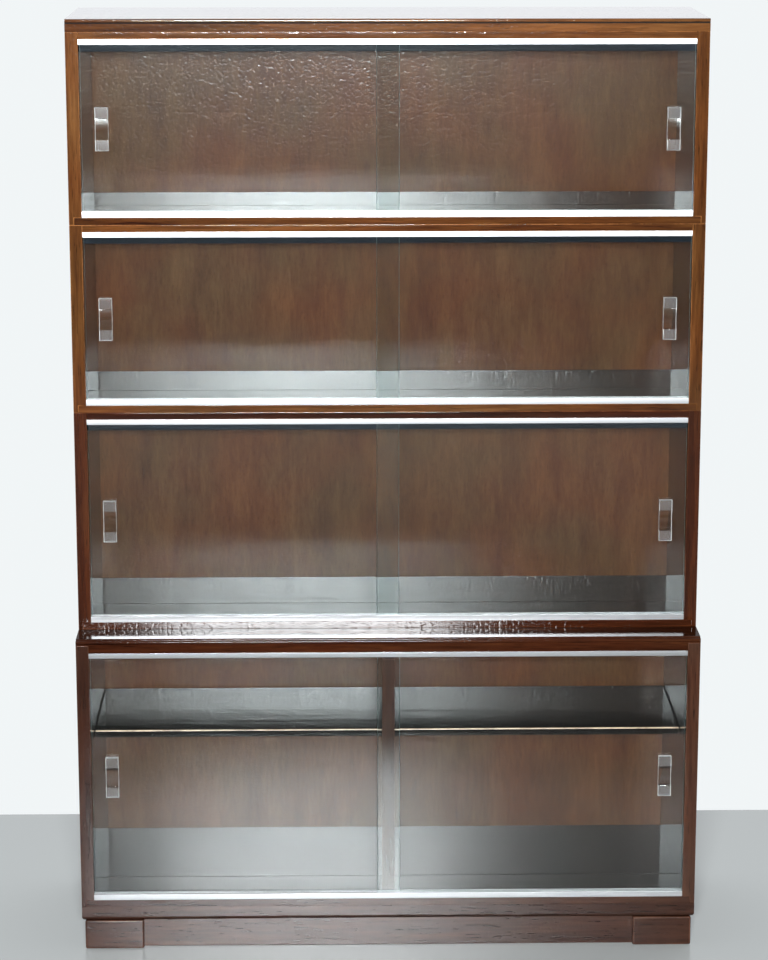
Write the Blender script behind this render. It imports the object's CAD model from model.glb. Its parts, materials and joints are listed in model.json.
# %% [markdown]
# # A stacking bookcase with sliding glass doors
#
# The real thing is cabinet work of the middle of the last century. Three shallow units stand on a
# deeper one, each a mahogany box closed by two panes of plate glass that slide in aluminium
# tracks. A loose cap board lies on top and a plinth carries the stack. The boards, panes and
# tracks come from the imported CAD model, which fixes every size. What is left to do here is the
# maker's finish: softened edges, grain, lacquer, ground glass edges, and a studio to see it in.

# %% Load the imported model
import json
import math

import bmesh
import bpy
from mathutils import Matrix, Vector

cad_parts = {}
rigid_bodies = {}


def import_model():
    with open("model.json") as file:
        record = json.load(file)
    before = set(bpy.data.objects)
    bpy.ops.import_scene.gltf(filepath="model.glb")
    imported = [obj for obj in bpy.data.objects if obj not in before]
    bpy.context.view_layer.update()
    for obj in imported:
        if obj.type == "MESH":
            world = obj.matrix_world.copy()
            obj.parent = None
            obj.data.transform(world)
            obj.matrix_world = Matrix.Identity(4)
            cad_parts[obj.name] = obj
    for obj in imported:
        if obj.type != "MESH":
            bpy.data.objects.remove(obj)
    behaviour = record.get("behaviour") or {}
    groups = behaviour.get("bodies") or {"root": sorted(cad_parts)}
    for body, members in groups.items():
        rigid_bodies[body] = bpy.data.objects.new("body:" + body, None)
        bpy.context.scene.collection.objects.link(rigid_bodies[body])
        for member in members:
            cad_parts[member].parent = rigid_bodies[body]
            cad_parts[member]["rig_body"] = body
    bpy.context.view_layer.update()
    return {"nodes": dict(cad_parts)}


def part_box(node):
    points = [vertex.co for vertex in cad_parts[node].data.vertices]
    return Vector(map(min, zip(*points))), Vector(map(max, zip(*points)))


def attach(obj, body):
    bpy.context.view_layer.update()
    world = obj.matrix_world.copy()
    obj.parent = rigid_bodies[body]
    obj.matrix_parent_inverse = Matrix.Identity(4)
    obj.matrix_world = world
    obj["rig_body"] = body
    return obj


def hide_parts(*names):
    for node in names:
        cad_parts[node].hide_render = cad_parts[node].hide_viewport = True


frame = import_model()

# %% [markdown]
# ## The camera
#
# A bookcase looks its best from standing height through a long lens, which keeps its sides nearly
# upright. The camera stands a little left of the middle, over four metres away, and looks down by
# about thirteen degrees. A sensor fit of AUTO applies the lens to the longer side of the frame,
# which is its height.

# %% Set up the camera
MM = 0.001
camera_place = Vector((-0.0827, -4.184, 1.6243))
tilt_down = math.radians(12.931)
turn_right = math.radians(1.078)

camera = bpy.data.cameras.new("camera")
camera.sensor_width = 36
camera.lens = 110.68
camera_object = bpy.data.objects.new("camera", camera)
camera_object.location = camera_place
camera_object.rotation_euler = (math.pi / 2 - tilt_down, 0, -turn_right)
bpy.context.collection.objects.link(camera_object)
bpy.context.scene.camera = camera_object
bpy.context.scene.view_settings.view_transform = "Standard"
print("Camera stands", round(camera_place.length, 2), "m from the foot of the bookcase")

# %% [markdown]
# ## Lists of pieces
#
# The four units are alike, so their pieces have the same names behind a unit's name. Loops over
# these names do the work once for all of them.

# %% Name the units and their pieces
UNITS = ("top", "second", "third", "bottom")
UPPER = UNITS[:3]
HANDS = ("left", "right")
tracks = [f"{unit}_{end}_track" for unit in UNITS for end in ("top", "bottom")]
print(len(frame["nodes"]), "CAD nodes in", len(UNITS), "units and a plinth")


# %% [markdown]
# ## Helpers for shader nodes
#
# A material is a small graph of nodes. These helpers add a node, set its values and wire its
# inputs in one line, so that the recipe of each finish can be read from top to bottom.

# %% Helpers: add and wire shader nodes
def add(material, kind, *, inputs=None, **settings):
    """Adds a node, sets its properties, and gives its inputs a value or a link."""
    tree = material.node_tree
    node = tree.nodes.new("ShaderNode" + kind)
    for name, value in settings.items():
        setattr(node, name, value)
    for name, value in (inputs or {}).items():
        if isinstance(value, bpy.types.NodeSocket):
            tree.links.new(value, node.inputs[name])
        else:
            node.inputs[name].default_value = value
    return node


def new_material(name):
    """A material that has no nodes yet."""
    material = bpy.data.materials.new(name)
    material.use_nodes = True
    material.node_tree.nodes.clear()
    return material


def surface(material, shader):
    """Completes a material with the node that its surface is read from."""
    add(material, "OutputMaterial", inputs={"Surface": shader.outputs[0]})
    return material


def ramp(material, factor, stops):
    """A colour ramp through (place, colour) stops."""
    node = add(material, "ValToRGB", inputs={"Fac": factor})
    elements = node.color_ramp.elements
    while len(elements) < len(stops):
        elements.new(0.5)
    for element, (place, colour) in zip(elements, stops):
        element.position = place
        element.color = (*colour, 1)
    return node.outputs["Color"]


def remap(material, value, old, new, **settings):
    """Maps one range of a value onto another, and holds it at the ends."""
    return add(material, "MapRange", **settings, inputs={
        "Value": value, "From Min": old[0], "From Max": old[1],
        "To Min": new[0], "To Max": new[1]}).outputs[0]


def product(material, one, other):
    """Two numbers multiplied."""
    return add(material, "Math", operation="MULTIPLY", inputs={0: one, 1: other}).outputs[0]


def scaled(material, vector, factor):
    """A colour or a place multiplied by a number."""
    return add(material, "VectorMath", operation="SCALE",
               inputs={0: vector, "Scale": factor}).outputs[0]


print("Helpers for materials are ready")

# %% [markdown]
# ## Mahogany
#
# Mahogany has a soft, streaky figure: wide bands of lighter and darker brown along the board,
# finer fibres inside them, and short dark pores. All three are noise that is stretched along the
# grain and squeezed across it. Each board carries its own number in an attribute, and the
# pattern is shifted by that number, so that no two boards look cut from the same place. A second
# attribute, tone, makes a board lighter or darker, as stain and sunlight do.
#
# The finish is sprayed lacquer over stain. A coat layer on the Principled shader gives the hard
# wet gloss, and a fine bump in it gives the pebbled skin that spraying leaves, which furniture
# makers call orange peel. The layer under the coat has no gloss of its own: with two glosses, the
# dark wood would look milky. A third attribute, wear, marks the rounded edges, where hands have
# rubbed the stain away in patches.
#
# A picture of real wood could be wrapped round the boards, but noise has no seams, runs through
# the whole board from face to end, and works at any size.

# %% Helpers: grain, noise and relief
LENGTHWAYS = {"x": (1, 0, 0), "z": (0, 0, 1)}
BOARD_SHIFT = (3.1, 1.7, 2.3)  # metres from one board's place in the pattern to the next one's


def from_board(material, name):
    """A number that each board carries on its faces."""
    return add(material, "Attribute", attribute_name=name).outputs["Fac"]


def grain_place(material, along, stretch):
    """Object coordinates shifted for each board, and squeezed so that noise runs with the grain."""
    place = add(material, "TexCoord").outputs["Object"]
    shift = scaled(material, BOARD_SHIFT, from_board(material, "board"))
    moved = add(material, "VectorMath", operation="ADD", inputs={0: place, 1: shift}).outputs[0]
    squeeze = [1 / stretch if axis else 1 for axis in LENGTHWAYS[along]]
    return add(material, "Mapping", inputs={"Vector": moved, "Scale": squeeze}).outputs[0]


def noise(material, place, scale, detail=2, roughness=0.5, distortion=0):
    """A noise between 0 and 1. A larger scale gives a finer pattern."""
    return add(material, "TexNoise", inputs={
        "Vector": place, "Scale": scale, "Detail": detail,
        "Roughness": roughness, "Distortion": distortion}).outputs["Fac"]


def relief(material, height, depth, under=None):
    """A bump whose depth is in millimetres, on top of another bump if one is given."""
    inputs = {"Distance": depth * MM, "Height": height}
    if under:
        inputs["Normal"] = under
    return add(material, "Bump", inputs=inputs).outputs[0]


print("Grain runs along", " or ".join(LENGTHWAYS))

# %% Mahogany recipe
BANDS, FIBRES, PORES = 26, 190, 620  # scales of the noises that are stretched along the grain
DRIFT, RUBBING, DIMPLES, SWELL = 7, 28, 210, 24  # scales of those that aren't
RAISED_GRAIN = 75
PALER_WHEN_BARE = 2.6
LACQUER_IOR = 1.5


def figure(material, place, stain, spread, fine, darkest):
    """Bands, fibres and pores in the three browns of a stain, made lighter or darker by tone."""
    bands = noise(material, place, BANDS, detail=3, roughness=0.62, distortion=0.35)
    fibres = noise(material, place, FIBRES, detail=4, roughness=0.7)
    # The Mix node's number inputs are sockets 2 and 3.
    mixed = add(material, "Mix", data_type="FLOAT",
                inputs={0: fine, 2: bands, 3: fibres}).outputs[0]
    streaks = ramp(material, mixed, list(zip((0.5 - spread, 0.5, 0.5 + spread), stain)))
    pores = noise(material, place, PORES, detail=2, roughness=0.6)
    pore_mask = remap(material, pores, (0.30, 0.40), (darkest, 1))
    return scaled(material, streaks, product(material, pore_mask, from_board(material, "tone")))


def aged(material, place, colour, bare_wood, blotch):
    """Lets a colour drift between red and olive, and rubs it away in patches where wear is 1."""
    drift = ramp(material, noise(material, place, DRIFT), (
        (0.36, (1 + blotch, 1 - blotch, 1 - 2 * blotch)),
        (0.64, (1 - blotch, 1 + blotch, 1 + 2 * blotch))))
    drifted = add(material, "VectorMath", operation="MULTIPLY",
                  inputs={0: colour, 1: drift}).outputs[0]
    patches = noise(material, place, RUBBING, detail=4, roughness=0.7)
    rubbed = remap(material, patches, (0.44, 0.60), (0.1, 0.45))
    bare = product(material, from_board(material, "wear"), rubbed)
    # The Mix node's colour inputs are sockets 6 and 7, and its colour output is socket 2.
    return add(material, "Mix", data_type="RGBA", inputs={
        0: bare, 6: drifted, 7: (*bare_wood, 1)}).outputs[2]


def lacquer_skin(material, along_grain, place, pebble, wave, ripple):
    """The bumps of the lacquer, each with its depth in millimetres."""
    dimples = remap(material, noise(material, place, DIMPLES, detail=1.5), (0.5, 0.8), (1, 0))
    skin = relief(material, dimples, pebble)
    if wave:
        skin = relief(material, noise(material, place, SWELL, detail=1), wave, skin)
    if ripple:
        raised = noise(material, along_grain, RAISED_GRAIN, detail=3, roughness=0.6)
        skin = relief(material, raised, ripple, skin)
    return skin


def mahogany(name, along, stain, stretch=18, spread=0.16, fine=0.42, darkest=0.45, blotch=0.05,
             pebble=0.08, wave=0.0, ripple=0.0, haze=0.09, coat=1.0):
    """A lacquered mahogany whose grain runs along x or z.

    The figure: stretch is how much longer than wide it is, spread how softly its browns blend,
    fine the share of thin fibres in it, darkest the brightness left in a pore, and blotch how
    far the colour drifts. The lacquer: pebble, wave and ripple are the depths of its dimples, of
    a panel's slow swell and of raised grain, haze the roughness of its gloss, coat its strength.
    """
    material = new_material(name)
    along_grain = grain_place(material, along, stretch)
    place = add(material, "TexCoord").outputs["Object"]
    bare_wood = [min(1, PALER_WHEN_BARE * channel) for channel in stain[-1]]
    colour = aged(material, place, figure(material, along_grain, stain, spread, fine, darkest),
                  bare_wood, blotch)
    skin = lacquer_skin(material, along_grain, place, pebble, wave, ripple)
    shader = add(material, "BsdfPrincipled", inputs={
        "Base Color": colour, "Roughness": 0.42, "Normal": skin, "Coat Normal": skin})
    shader.inputs["Specular IOR Level"].default_value = 0
    shader.inputs["Coat Weight"].default_value = coat
    shader.inputs["Coat Roughness"].default_value = haze
    shader.inputs["Coat IOR"].default_value = LACQUER_IOR
    return surface(material, shader)


print("A mahogany needs a name, a direction and a stain of three browns")

# %% [markdown]
# ## Thirteen finishes
#
# The upper units are golden brown, the third one is redder, and the deep unit is umber. Inside,
# the wood is stained nearly black, so what shows there is mostly the gloss of the lacquer. The
# backs are plywood: their veneer has a short mottled figure, the thin sheet swells a little
# between its screws, and its duller lacquer spreads the lamp's light into a grey veil. Each stain
# is three browns, darkest first, as linear red, green and blue.

# %% Mix the mahogany finishes
golden = ((0.0252, 0.0067, 0.0025), (0.0823, 0.0286, 0.0076), (0.1722, 0.0689, 0.0202))
russet = ((0.0118, 0.0025, 0.0008), (0.0353, 0.0092, 0.0034), (0.0714, 0.0210, 0.0067))
umber = ((0.0101, 0.0034, 0.0017), (0.0260, 0.0092, 0.0050), (0.0504, 0.0202, 0.0109))
inner = ((0.0034, 0.0025, 0.0025), (0.0084, 0.0067, 0.0059), (0.0185, 0.0151, 0.0126))
veneer = ((0.0302, 0.0101, 0.0042), (0.0554, 0.0218, 0.0084), (0.0857, 0.0378, 0.0151))
blue_black = ((0.002, 0.003, 0.005), (0.005, 0.007, 0.010), (0.010, 0.013, 0.018))
rubbed_pale = ((0.10, 0.055, 0.03), (0.26, 0.16, 0.10), (0.40, 0.28, 0.19))
dark_wax = ((0.003, 0.002, 0.002), (0.006, 0.004, 0.003), (0.012, 0.008, 0.006))

golden_lying = mahogany("golden_mahogany_lying", "x", golden)
golden_upright = mahogany("golden_mahogany_upright", "z", golden)
russet_lying = mahogany("russet_mahogany_lying", "x", russet)
russet_upright = mahogany("russet_mahogany_upright", "z", russet)
umber_lying = mahogany("umber_mahogany_lying", "x", umber, haze=0.2, coat=0.6)
umber_upright = mahogany("umber_mahogany_upright", "z", umber, haze=0.2, coat=0.6)
inside_lying = mahogany("inside_lying", "x", inner, pebble=0.05, ripple=0.45, haze=0.08, coat=0.5)
inside_upright = mahogany("inside_upright", "z", inner, haze=0.12)
back_veneer = mahogany("back_veneer", "z", veneer, stretch=5, spread=0.24, fine=0.5, darkest=0.7,
                       blotch=0.08, pebble=0.10, wave=0.12, haze=0.14)
ebonised = mahogany("ebonised_lip", "x", blue_black, haze=0.2, coat=0.2)
ledge_finish = mahogany("ledge_mahogany", "x", russet, pebble=0.06, haze=0.08, coat=0.25)
bare_edge = mahogany("bare_edge", "x", rubbed_pale, haze=0.3)
joint_wax = mahogany("joint_wax", "x", dark_wax, haze=0.5, coat=0.1)
print("Thirteen finishes of mahogany")

# %% [markdown]
# ## Softened boards
#
# No board has a razor edge: the maker takes off each arris with a plane and sandpaper, and the
# thin bright line that the lacquer makes there is what tells the eye that this is wood. The CAD
# meshes have sharp edges, so each board gets a copy whose loose triangles are merged into whole
# faces and whose long sharp edges are bevelled. The rims of screw and peg holes are left alone.
#
# Bevelled boards are shaded smoothly, which would make their flat faces look blown up. A Weighted
# Normal modifier lets the largest faces decide, so flat wood stays flat and only the edges turn.

# %% Helper: copy a CAD board and soften its edges
SAME_POINT = 0.01 * MM
SAME_PLANE = math.radians(0.5)  # faces that turn by less than this are merged
SHARP = math.radians(30)  # an edge that turns by more than this is bevelled
KEPT_SHARP = math.radians(50)  # and shading breaks at an edge that still turns by this much


def softened(node, radius, shortest=4 * MM, segments=2):
    """A merged copy of a CAD node with its long sharp edges rounded."""
    bm = bmesh.new()
    bm.from_mesh(frame["nodes"][node].data)
    wear = bm.faces.layers.float.new("wear")
    bmesh.ops.remove_doubles(bm, verts=bm.verts, dist=SAME_POINT)
    bmesh.ops.dissolve_limit(bm, angle_limit=SAME_PLANE, verts=bm.verts, edges=bm.edges)
    edges = [e for e in bm.edges if e.is_manifold and e.calc_length() > shortest
             and e.calc_face_angle(0) > SHARP]
    rounded = bmesh.ops.bevel(
        bm, geom=edges, offset=radius, offset_type="OFFSET", affect="EDGES", segments=segments,
        profile=0.5, material=-1, clamp_overlap=True)["faces"]
    for face in rounded:
        face[wear] = 1
    for face in bm.faces:
        face.smooth = True
    return bm


def stand_in(bm, node, suffix, finishes):
    """Makes the mesh an object that takes a CAD node's place and moves with its body."""
    name = f"{node}_{suffix}"
    mesh = bpy.data.meshes.new(name)
    bm.to_mesh(mesh)
    bm.free()
    piece = bpy.data.objects.new(name, mesh)
    bpy.context.collection.objects.link(piece)
    for finish in finishes:
        mesh.materials.append(finish)
    mesh.set_sharp_from_angle(angle=KEPT_SHARP)
    even = piece.modifiers.new("flat_faces_stay_flat", "WEIGHTED_NORMAL")
    even.keep_sharp = True
    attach(piece, frame["nodes"][node]["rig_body"])
    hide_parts(node)
    return piece


def number_faces(bm, board, tone):
    """Stores a board's number and its tone on its faces, for the mahogany recipe to read."""
    board_layer = bm.faces.layers.float.new("board")
    tone_layer = bm.faces.layers.float.new("tone")
    for face in bm.faces:
        face[board_layer] = board
        face[tone_layer] = tone


def wooden(node, finish, radius=0.8 * MM, tone=1.0):
    """A CAD board with softened edges and a lacquered finish."""
    bm = softened(node, radius)
    number_faces(bm, list(frame["nodes"]).index(node), tone)
    return stand_in(bm, node, "lacquered", [finish])


print("The cap's CAD mesh has", len(frame["nodes"]["cap_board"].data.polygons), "triangles")

# %% [markdown]
# ## The four units
#
# Sides, rails and the front floor boards are show wood, stained a warm red-brown. Their faces that
# look into the case get the dark inside finish. A board can carry more than one material: each
# face stores a number that points into the board's list of materials, and a small test on the
# face's middle and direction picks that number. The joints round the floor panel are filled with
# dark wax, as a maker fills a joint that has opened a little: the wax lies on the panel's bevels,
# the faces that look neither up nor sideways.

# %% Finish the sides, rails and floors
# For each unit, the finish of lying boards and of upright ones, and how light their tone is.
show_wood = {"top": (golden_lying, golden_upright, 0.82),
             "second": (golden_lying, golden_upright, 0.90),
             "third": (russet_lying, russet_upright, 0.85),
             "bottom": (umber_lying, umber_upright, 1.0)}


def face_finish(piece, finish, chosen):
    """Gives a second finish to the faces that the test chooses by their middle and normal."""
    piece.data.materials.append(finish)
    for face in piece.data.polygons:
        if chosen(face.center, face.normal):
            face.material_index = len(piece.data.materials) - 1


FACING = 0.9  # a face looks along an axis if its normal has at least this much of it
inner_half = -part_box("top_left_side")[1].x
for unit in UNITS:
    lying, upright, tone = show_wood[unit]
    behind_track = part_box(f"{unit}_top_track")[1].y - 0.5 * MM
    for hand in HANDS:
        side = wooden(f"{unit}_{hand}_side", upright, tone=tone)
        face_finish(side, inside_upright,
                    lambda c, n: abs(c.x) < inner_half + 1 * MM and abs(n.x) > FACING)
    front = wooden(f"{unit}_floor_front", lying, radius=0.4 * MM, tone=tone)
    face_finish(front, inside_lying, lambda c, n: n.z > FACING and c.y > behind_track)
    panel = wooden(f"{unit}_floor_panel", inside_lying, radius=1.6 * MM)
    face_finish(panel, joint_wax, lambda c, n: 0.2 < n.z < 0.95)
    wooden(f"{unit}_back_panel", back_veneer, radius=0.3 * MM)
    if unit in UPPER:
        rail = wooden(f"{unit}_rail", lying, radius=0.7 * MM, tone=tone)
        face_finish(rail, ebonised, lambda c, n: c.y > behind_track)
print("Finished the boards of", len(UNITS), "units")

# %% [markdown]
# ## The cap, the ledge, the shelf and the plinth
#
# The cap's front edge has a bead over a narrow groove, and the groove is where polish and dust
# gather, so it is dark. The shelf is taken out and put back by its front edge, which is rubbed
# down to pale wood. The ledge is the surface that people wipe most: its gloss is thinner and its
# skin smoother.

# %% Finish the cap, the ledge, the shelf and the plinth
cap = wooden("cap_board", golden_lying, radius=0.7 * MM, tone=0.82)
cap_low, cap_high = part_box("cap_board")
groove_level, groove_half = cap_high.z - 6.1 * MM, 1.4 * MM
face_finish(cap, joint_wax, lambda c, n: cap_low.y + 0.2 * MM < c.y < cap_low.y + 3 * MM
            and abs(c.z - groove_level) < groove_half)
wooden("ledge_board", ledge_finish, radius=0.5 * MM, tone=0.9)
shelf = wooden("shelf", inside_lying, radius=1.6 * MM)
shelf_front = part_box("shelf")[0].y
face_finish(shelf, bare_edge, lambda c, n: c.y < shelf_front + 2 * MM and 0.2 < n.z < 0.99)
wooden("centre_post", umber_upright)
wooden("base_board", umber_lying)
for side in ("front", "left", "right", "back"):
    wooden(f"plinth_{side}", umber_lying)
for hand in HANDS:
    wooden(f"{hand}_foot", umber_lying, radius=2.5 * MM)
print("Finished the cap, ledge, shelf and plinth")

# %% [markdown]
# ## Metals
#
# The tracks are drawn aluminium, the pegs turned brass and the screws plain steel. A metal's look
# comes from its reflections alone, so each is one metallic colour with fine lines in its bump
# and a little shade in the lines, along the way that it was drawn or turned. Inside the channels,
# years of dust have dulled the aluminium.

# %% Aluminium, brass and steel
ALONG_X = (0.01, 1, 1)  # squeezes the noise to long lines along x
LINE_DEPTH = 0.006  # millimetres
LINE_SHADE = 0.82


def metal(name, colour, roughness, brushed):
    """A metal; brushed is the scale of the fine lines that drawing or turning leaves."""
    material = new_material(name)
    place = add(material, "TexCoord").outputs["Object"]
    drawn_out = add(material, "Mapping", inputs={"Vector": place, "Scale": ALONG_X}).outputs[0]
    lines = noise(material, drawn_out, brushed, detail=3)
    shaded = [LINE_SHADE * channel for channel in colour]
    tint = ramp(material, lines, ((0.3, shaded), (0.6, colour)))
    return surface(material, add(material, "BsdfPrincipled", inputs={
        "Base Color": tint, "Metallic": 1, "Roughness": roughness,
        "Normal": relief(material, lines, LINE_DEPTH)}))


aluminium = metal("drawn_aluminium", (0.62, 0.63, 0.645), 0.30, brushed=1400)
channel_dust = metal("dusty_channel", (0.16, 0.16, 0.16), 0.55, brushed=900)
brass = metal("turned_brass", (0.72, 0.53, 0.25), 0.25, brushed=900)
steel = metal("screw_steel", (0.52, 0.52, 0.53), 0.38, brushed=900)
print("Four metals")

# %% [markdown]
# ## Tracks, pegs and screws
#
# An extruded track has crisp edges with a radius of only a fifth of a millimetre, so one bevel
# segment is enough. The pegs and screws keep their CAD meshes: a better material is all they need.

# %% Finish the tracks, pegs and screws
for track in tracks:
    piece = stand_in(softened(track, 0.2 * MM, shortest=1 * MM, segments=1), track, "drawn",
                     [aluminium])
    low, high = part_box(track)
    face_finish(piece, channel_dust, lambda c, n: n.z > FACING or (
        c.y > low.y + 1 * MM and low.z + 0.5 * MM < c.z < high.z - 0.5 * MM))
for node, finish in (("brass_pegs", brass), ("back_screws", steel)):
    frame["nodes"][node].data.materials.clear()
    frame["nodes"][node].data.materials.append(finish)
print("Finished", len(tracks), "tracks")

# %% [markdown]
# ## Glass
#
# The panes are plate glass, faintly green, with a ground edge that looks dark because light that
# enters it gets lost. A path tracer finds light through glass only by luck. So for shadow rays
# and diffuse rays the material becomes a plain see-through one, and lamps light the inside of the
# case as they do in a room. Camera and mirror rays still see real glass.

# %% Plate glass and its ground edge
def glass(name, colour, roughness=0.0, satin=0.0):
    """Glass, from clear to satin. Rays that carry light go straight through, so that what is
    inside is lit."""
    material = new_material(name)
    body = add(material, "BsdfPrincipled", inputs={
        "Base Color": (*colour, 1), "Roughness": roughness, "IOR": 1.5,
        "Transmission Weight": 1 - satin})
    clear = add(material, "BsdfTransparent", inputs={"Color": (*colour, 1)})
    path = add(material, "LightPath").outputs
    lets_light = add(material, "Math", operation="MAXIMUM", inputs={
        0: path["Is Shadow Ray"], 1: path["Is Diffuse Ray"]}).outputs[0]
    return surface(material, add(material, "MixShader", inputs={
        0: lets_light, 1: body.outputs[0], 2: clear.outputs[0]}))


plate_glass = glass("plate_glass", (0.955, 0.985, 0.982))
ground_edge = glass("ground_glass_edge", (0.02, 0.05, 0.046), roughness=0.35, satin=0.3)
pull_glass = glass("pull_glass", (0.95, 0.955, 0.96))
pull_land = glass("pull_land", (0.66, 0.69, 0.71), roughness=0.2, satin=0.07)
pull_edge = glass("pull_edge", (0.85, 0.87, 0.88), roughness=0.3, satin=0.40)
print("Five finishes of glass")

# %% [markdown]
# ## Panes and finger pulls
#
# A pane has a half millimetre taken off each edge, so that it can be handled. Its large faces are
# polished and the rest is ground, and flat shading keeps both as flat as glass is.
#
# Each pull is a glass block that is glued to the pane, with a scoop for the finger. The lands above
# and below the scoop are slightly satin and its outline is ground, which is how a clear block on
# a clear pane can be seen at all. A hair of space is left behind it for the glue line: two glass
# faces in the same plane would fight over every ray.

# %% Make the panes
for unit in UNITS:
    for hand in HANDS:
        pane = f"{unit}_{hand}_pane"
        bm = softened(pane, 0.5 * MM, segments=1)
        for face in bm.faces:
            face.smooth = False
            face.material_index = 0 if abs(face.normal.y) > FACING else 1
        stand_in(bm, pane, "polished", (plate_glass, ground_edge))
print("Made", len(UNITS) * len(HANDS), "panes")

# %% Make the finger pulls
THINNER = (1, 0.98, 1)  # leaves room for the glue behind the block

for unit in UNITS:
    for hand in HANDS:
        pull = f"{unit}_{hand}_pull"
        bm = softened(pull, 0.9 * MM)
        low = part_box(pull)[0]
        bmesh.ops.scale(bm, verts=bm.verts, vec=THINNER, space=Matrix.Translation(-low))
        for face in bm.faces:
            outline = abs(face.normal.x) > 0.3 or abs(face.normal.z) > 0.75
            land = face.calc_center_median().y < low.y + 0.1 * MM
            face.material_index = 2 if outline else 1 if land else 0
        stand_in(bm, pull, "polished", (pull_glass, pull_land, pull_edge))
print("Made", len(UNITS) * len(HANDS), "finger pulls")

# %% [markdown]
# ## The studio
#
# A pale floor and a white backdrop. The floor is polished near the bookcase, so that it mirrors
# light into the lowest panes, and matte further off. Further off it is also darker to every ray
# except the camera's, so that panes don't fill with its reflection. The backdrop is a wall of even
# white that only the camera sees, and only from its front: it lights nothing, and it is not in
# the way when the bookcase is seen from behind.

# %% Helper: a sheet for the studio
SHEET_HALF = 12


def studio_sheet(name, material, turn=0.0, shift=(0, 0, 0)):
    """A large square sheet, turned about X and then moved, that belongs to the studio."""
    bm = bmesh.new()
    bmesh.ops.create_grid(bm, x_segments=1, y_segments=1, size=SHEET_HALF)
    bmesh.ops.rotate(bm, verts=bm.verts, cent=(0, 0, 0), matrix=Matrix.Rotation(turn, 3, "X"))
    bmesh.ops.translate(bm, verts=bm.verts, vec=shift)
    mesh = bpy.data.meshes.new(name)
    bm.to_mesh(mesh)
    bm.free()
    mesh.materials.append(material)
    sheet = bpy.data.objects.new(name, mesh)
    bpy.context.collection.objects.link(sheet)
    return mesh


print("Studio sheets are", 2 * SHEET_HALF, "m wide")

# %% Floor
POLISHED_TO, MATTE_FROM = 0.8, 1.15  # metres from the middle of the bookcase's foot
FAR_BRIGHTNESS = 0.15
FLOOR_PAINT = (0.345, 0.357, 0.35)

pale_floor = new_material("pale_floor")
place = add(pale_floor, "TexCoord").outputs["Object"]
reach = add(pale_floor, "VectorMath", operation="LENGTH", inputs={0: place}).outputs["Value"]
near = remap(pale_floor, reach, (POLISHED_TO, MATTE_FROM), (1, 0),
             interpolation_type="SMOOTHSTEP")
lit = remap(pale_floor, near, (0, 1), (FAR_BRIGHTNESS, 1))
seen = add(pale_floor, "LightPath").outputs["Is Camera Ray"]
dimming = add(pale_floor, "Math", operation="MAXIMUM", inputs={0: lit, 1: seen}).outputs[0]
paint = scaled(pale_floor, FLOOR_PAINT, dimming)
matte = add(pale_floor, "BsdfDiffuse", inputs={"Color": paint})
polished = add(pale_floor, "BsdfPrincipled", inputs={"Base Color": paint, "Roughness": 0.14})
polished.inputs["Specular IOR Level"].default_value = 0.14
surface(pale_floor, add(pale_floor, "MixShader", inputs={
    0: near, 1: matte.outputs[0], 2: polished.outputs[0]}))
studio_sheet("studio_floor", pale_floor)
print("The floor is polished to", POLISHED_TO, "m from the middle")

# %% Backdrop
WHITE = (0.88, 0.915, 0.925)
WALL_PLACE = (0, 0.44, SHEET_HALF)  # close behind the bookcase, with its lower edge on the floor

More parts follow.
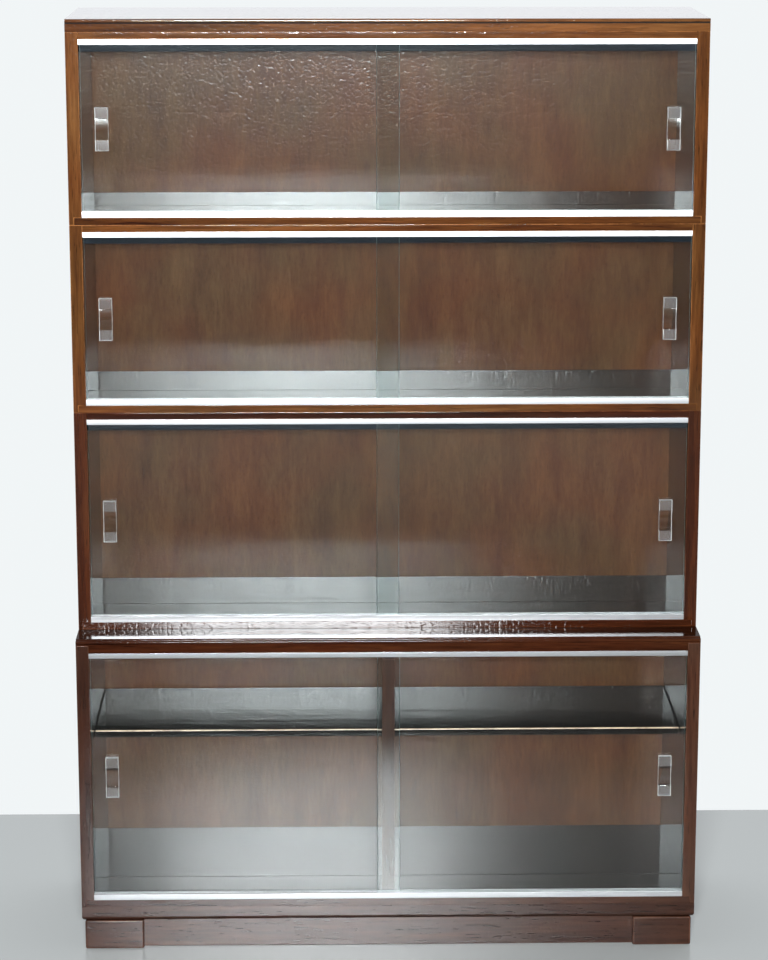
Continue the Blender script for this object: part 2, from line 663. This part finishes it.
white_wall = new_material("backdrop_white")
glow = add(white_wall, "Emission", inputs={"Color": (*WHITE, 1), "Strength": 1.0})
clear = add(white_wall, "BsdfTransparent")
seen = add(white_wall, "LightPath").outputs["Is Camera Ray"]
behind = add(white_wall, "NewGeometry").outputs["Backfacing"]
front_seen = add(white_wall, "Math", operation="SUBTRACT", use_clamp=True,
                 inputs={0: seen, 1: behind}).outputs[0]
surface(white_wall, add(white_wall, "MixShader", inputs={
    0: front_seen, 1: clear.outputs[0], 2: glow.outputs[0]}))
wall = studio_sheet("backdrop", white_wall, turn=math.pi / 2, shift=WALL_PLACE)
print("Backdrop faces", tuple(round(v) for v in wall.polygons[0].normal))

# %% [markdown]
# ## The world
#
# What the lacquer mirrors at a flat angle is the far end of the room, behind the bookcase. The
# world is bright there and fades to almost nothing on the camera's side, so that the panes stay
# clear.

# %% World
world = bpy.data.worlds.new("studio")
bpy.context.scene.world = world
world.use_nodes = True
world.node_tree.nodes.clear()
ray = add(world, "TexCoord").outputs["Generated"]
direction = add(world, "SeparateXYZ", inputs={"Vector": ray})
brightness = remap(world, direction.outputs["Y"], (-0.35, 0.7), (0.05, 1.3),
                   interpolation_type="SMOOTHSTEP")
room = add(world, "Background", inputs={"Color": (0.93, 0.96, 1.0, 1), "Strength": brightness})
pale = add(world, "Background", inputs={"Color": (*WHITE, 1)})
seen = add(world, "LightPath").outputs["Is Camera Ray"]
mixed = add(world, "MixShader", inputs={0: seen, 1: room.outputs[0], 2: pale.outputs[0]})
add(world, "OutputWorld", inputs={"Surface": mixed.outputs[0]})
print("The world is pale")

# %% [markdown]
# ## Lamps
#
# One strong softbox stands just above the camera. Its light enters each unit, bounces off the
# glossy floor and the back, and returns the way it came, as from the corner of a billiard table.
# That gives the bright band at the foot of each back. A large weak lamp overhead lights the top.

# %% Lamps
LAMP_COLOUR = (0.95, 0.98, 1.0)


def softbox(name, place, target, size, watts):
    """A rectangular lamp that faces its target."""
    lamp = bpy.data.lights.new(name, "AREA")
    lamp.shape = "RECTANGLE"
    lamp.size, lamp.size_y = size
    lamp.energy = watts
    lamp.color = LAMP_COLOUR
    holder = bpy.data.objects.new(name, lamp)
    holder.location = place
    holder.rotation_euler = (Vector(target) - Vector(place)).to_track_quat("-Z", "Y").to_euler()
    bpy.context.collection.objects.link(holder)


softbox("camera_light", place=(-0.15, -4.75, 1.77), target=(-0.15, 0, 1.77),
        size=(0.85, 0.45), watts=540)
softbox("overhead", place=(0, 0.3, 4.0), target=(0, 0.3, 0), size=(5, 4), watts=45)
print("Two lamps")
